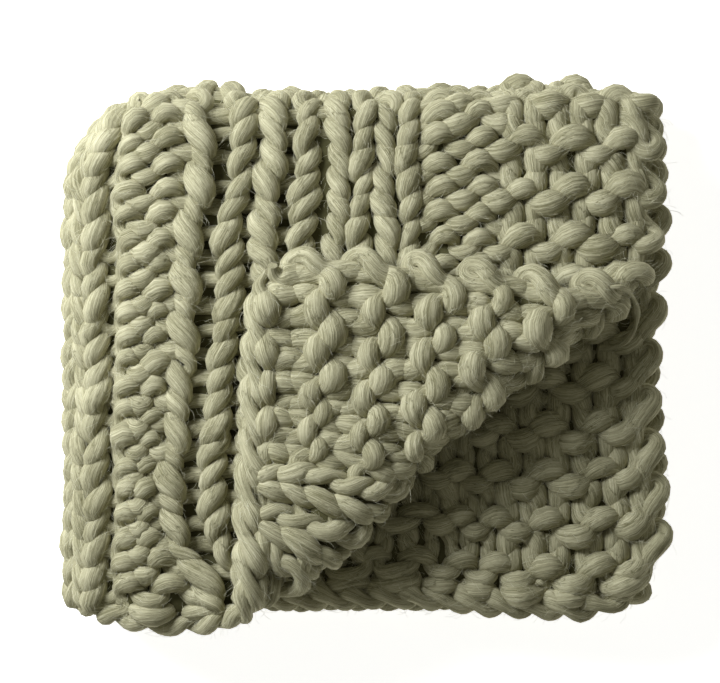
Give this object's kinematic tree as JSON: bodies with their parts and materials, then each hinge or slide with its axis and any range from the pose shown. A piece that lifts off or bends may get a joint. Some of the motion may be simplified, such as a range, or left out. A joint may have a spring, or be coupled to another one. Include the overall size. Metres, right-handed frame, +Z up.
{
  "type": "knit blanket",
  "caption": "Chunky knitted throw blanket folded in half twice, with ribbed cords, garter borders and its top front corner turned back.",
  "frame": {"origin": "middle of the folded bundle's footprint, on the surface it lies on", "axes": "+Z up, +X towards the edge where the layers lie open, +Y towards the back fold"},
  "size_m": [0.5584, 0.5042, 0.185],
  "materials": {
    "sage_wool": "matt unspun merino roving, knitted by hand on very thick needles"
  },
  "bodies": {
    "root": {"knit_throw": "sage_wool"}
  },
  "joints": []
}
